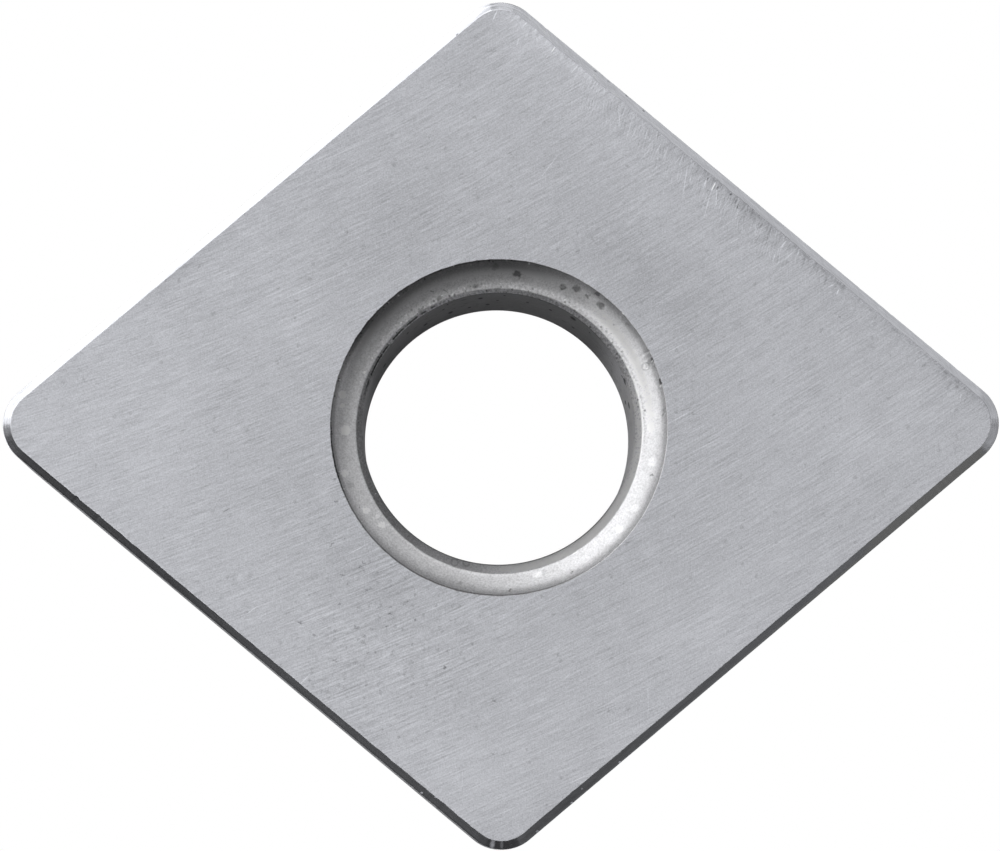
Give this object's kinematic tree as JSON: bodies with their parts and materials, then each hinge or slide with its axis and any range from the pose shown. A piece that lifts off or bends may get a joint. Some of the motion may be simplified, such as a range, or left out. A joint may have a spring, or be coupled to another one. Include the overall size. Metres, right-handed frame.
{
  "type": "indexable carbide insert",
  "caption": "Flat-topped rhombic cutting insert of ground sintered carbide, with a dished through hole and a narrow bevelled land on every edge; it sits in a tool holder pocket.",
  "frame": {"origin": "centre of the bottom face, on the axis of the hole", "axes": "+Z out of the top face along the hole's axis, +X along the long diagonal towards an 80 degree corner, +Y along the short diagonal"},
  "size_m": [0.0188, 0.016, 0.0048],
  "materials": {
    "carbide": "ground, with fine slanting grinding lines"
  },
  "bodies": {
    "root": {"insert_body": "carbide"}
  },
  "joints": []
}
